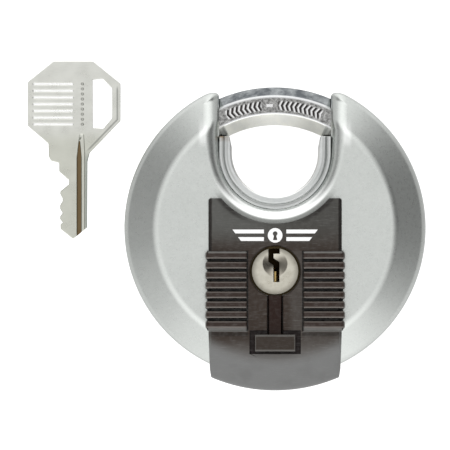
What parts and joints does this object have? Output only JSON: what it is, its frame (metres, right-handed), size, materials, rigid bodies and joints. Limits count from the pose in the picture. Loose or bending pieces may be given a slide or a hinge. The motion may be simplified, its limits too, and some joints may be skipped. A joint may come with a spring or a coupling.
{
  "type": "disc padlock",
  "caption": "Round steel disc padlock with a shrouded octagonal arc shackle, ribbed black cover with sliding keyway shutter, geared pin-tumbler cylinder, and its flat key.",
  "frame": {"origin": "centre of the round flat back face, on the disc's own axis", "axes": "+Z out of the front face through the cover, +Y from the disc centre to the shackle, +X to the right seen from the front"},
  "size_m": [0.0926, 0.0766, 0.0299],
  "materials": {
    "stainless_shell": "satin bead-blasted stainless steel",
    "liner_steel": "hardened steel, satin",
    "core_casting": "as-cast zinc alloy, taken as cast metal",
    "dark_fasteners": "blackened steel",
    "hard_steel": "hardened tool steel, ground",
    "brass_body": "turned brass",
    "spring_wire": "drawn spring steel",
    "cover_plastic": "fine-grained black plastic",
    "mark_print": "white pad print",
    "shackle_chrome": "polished chromed steel",
    "plug_nickel": "nickel-plated brass",
    "pin_steel": "turned steel",
    "pin_brass": "turned brass",
    "shutter_plastic": "black plastic",
    "key_nickel": "nickel-plated brass"
  },
  "bodies": {
    "lock_body": {"front_shell": "stainless_shell", "rear_shell": "stainless_shell", "throat_liner": "liner_steel", "core_front": "core_casting", "core_rear": "core_casting", "core_screws": "dark_fasteners", "drill_guard": "hard_steel", "cylinder_housing": "brass_body", "chamber_cap": "brass_body", "pin_spring_1": "spring_wire", "pin_spring_2": "spring_wire", "pin_spring_3": "spring_wire", "pin_spring_4": "spring_wire", "front_cover": "cover_plastic", "cover_mark": "mark_print", "cover_screws": "dark_fasteners", "detent_spring": "spring_wire"},
    "shackle_assembly": {"shackle": "shackle_chrome", "carrier_plate": "hard_steel", "carrier_rivets": "hard_steel"},
    "plug_assembly": {"plug": "plug_nickel", "drive_pinion": "hard_steel", "pinion_screw": "dark_fasteners", "plug_clip": "spring_wire"},
    "shutter": {"keyway_shutter": "shutter_plastic"},
    "loose_key": {"key": "key_nickel"},
    "driver_1": {"driver_pin_1": "pin_steel"},
    "key_pin_body_1": {"key_pin_1": "pin_brass"},
    "driver_2": {"driver_pin_2": "pin_steel"},
    "key_pin_body_2": {"key_pin_2": "pin_brass"},
    "driver_3": {"driver_pin_3": "pin_steel"},
    "key_pin_body_3": {"key_pin_3": "pin_brass"},
    "driver_4": {"driver_pin_4": "pin_steel"},
    "key_pin_body_4": {"key_pin_4": "pin_brass"}
  },
  "joints": [
    {"name": "shackle_swing", "type": "hinge", "parent": "lock_body", "child": "shackle_assembly", "pos_m": [0, 0, 0.013], "axis": [0, 0, -1], "range_deg": [0, 73]},
    {"name": "plug_turn", "type": "hinge", "parent": "lock_body", "child": "plug_assembly", "pos_m": [0, -0.01, 0.017], "axis": [0, 0, -1], "range_deg": [0, 125.14]},
    {"name": "shutter_slide", "type": "slide", "parent": "lock_body", "child": "shutter", "axis": [0, 1, 0], "range_m": [0, 0.0109]},
    {"name": "key_lift", "type": "slide", "parent": "lock_body", "child": "loose_key", "axis": [0, 0, 1], "range_m": [0, 0.05]},
    {"name": "driver_slide_1", "type": "slide", "parent": "lock_body", "child": "driver_1", "axis": [0, -1, 0], "range_m": [0, 0.0008], "stiffness_N_per_m": 60, "springref_m": -0.002, "deforming": ["pin_spring_1"]},
    {"name": "key_pin_slide_1", "type": "slide", "parent": "plug_assembly", "child": "key_pin_body_1", "axis": [0, 1, 0], "range_m": [0, 0.0008]},
    {"name": "driver_slide_2", "type": "slide", "parent": "lock_body", "child": "driver_2", "axis": [0, -1, 0], "range_m": [0, 0.0008], "stiffness_N_per_m": 60, "springref_m": -0.002, "deforming": ["pin_spring_2"]},
    {"name": "key_pin_slide_2", "type": "slide", "parent": "plug_assembly", "child": "key_pin_body_2", "axis": [0, 1, 0], "range_m": [0, 0.0008]},
    {"name": "driver_slide_3", "type": "slide", "parent": "lock_body", "child": "driver_3", "axis": [0, -1, 0], "range_m": [0, 0.0008], "stiffness_N_per_m": 60, "springref_m": -0.002, "deforming": ["pin_spring_3"]},
    {"name": "key_pin_slide_3", "type": "slide", "parent": "plug_assembly", "child": "key_pin_body_3", "axis": [0, 1, 0], "range_m": [0, 0.0008]},
    {"name": "driver_slide_4", "type": "slide", "parent": "lock_body", "child": "driver_4", "axis": [0, -1, 0], "range_m": [0, 0.0008], "stiffness_N_per_m": 60, "springref_m": -0.002, "deforming": ["pin_spring_4"]},
    {"name": "key_pin_slide_4", "type": "slide", "parent": "plug_assembly", "child": "key_pin_body_4", "axis": [0, 1, 0], "range_m": [0, 0.0008]}
  ],
  "couplings": [
    {"joint": "plug_turn", "follows": "shackle_swing", "ratio": 1.7143}
  ]
}
